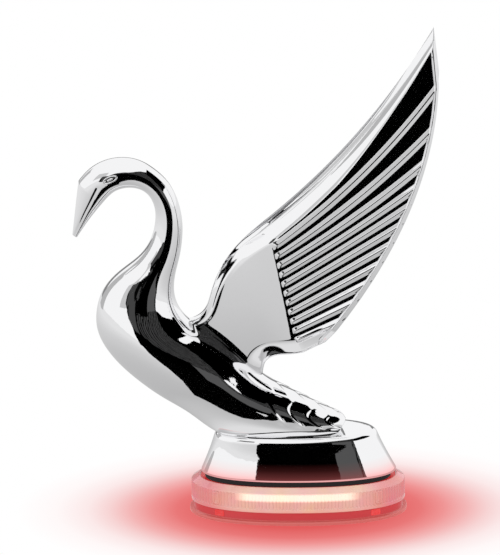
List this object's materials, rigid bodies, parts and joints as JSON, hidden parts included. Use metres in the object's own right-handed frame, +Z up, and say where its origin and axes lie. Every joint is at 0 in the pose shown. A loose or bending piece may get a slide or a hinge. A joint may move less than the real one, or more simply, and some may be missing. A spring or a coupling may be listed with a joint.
{
  "type": "hood ornament",
  "caption": "Chrome swan hood ornament with raised ribbed wings on a flared oval foot and a clear fluted light base.",
  "frame": {"origin": "middle of the foam pad's flat underside, where the base rests on the hood", "axes": "+Z up; the swan faces -X, so its left side is towards -Y; X is the long axis of the oval base"},
  "size_m": [0.1277, 0.0358, 0.1754],
  "materials": {
    "chrome": "mirror-bright chrome plate on a zinc die casting",
    "spring_steel": "plain zinc-plated spring steel",
    "brass": "turned brass",
    "black_rubber": "matte black rubber",
    "black_foam": "closed-cell foam",
    "clear_lens": "clear polycarbonate with fine upright flutes, lit red from inside",
    "circuit_board": "solder-masked board",
    "led": "red surface-mount light",
    "component_black": "moulded component"
  },
  "bodies": {
    "root": {"swan_body": "chrome", "left_wing": "chrome", "right_wing": "chrome", "left_wing_push_nut_front": "spring_steel", "left_wing_push_nut_rear": "spring_steel", "right_wing_push_nut_front": "spring_steel", "right_wing_push_nut_rear": "spring_steel", "threaded_insert_front": "brass", "threaded_insert_rear": "brass", "foot_gasket": "black_rubber", "lens_ring": "clear_lens", "base_tray": "clear_lens", "mounting_pad": "black_foam", "wire_grommet": "black_rubber", "circuit_board": "circuit_board", "led_01": "led", "led_02": "led", "led_03": "led", "led_04": "led", "led_05": "led", "led_06": "led", "led_07": "led", "led_08": "led", "led_09": "led", "led_10": "led", "led_11": "led", "led_12": "led", "resistor_1": "component_black", "resistor_2": "component_black", "resistor_3": "component_black", "polarity_diode": "component_black"}
  },
  "joints": []
}
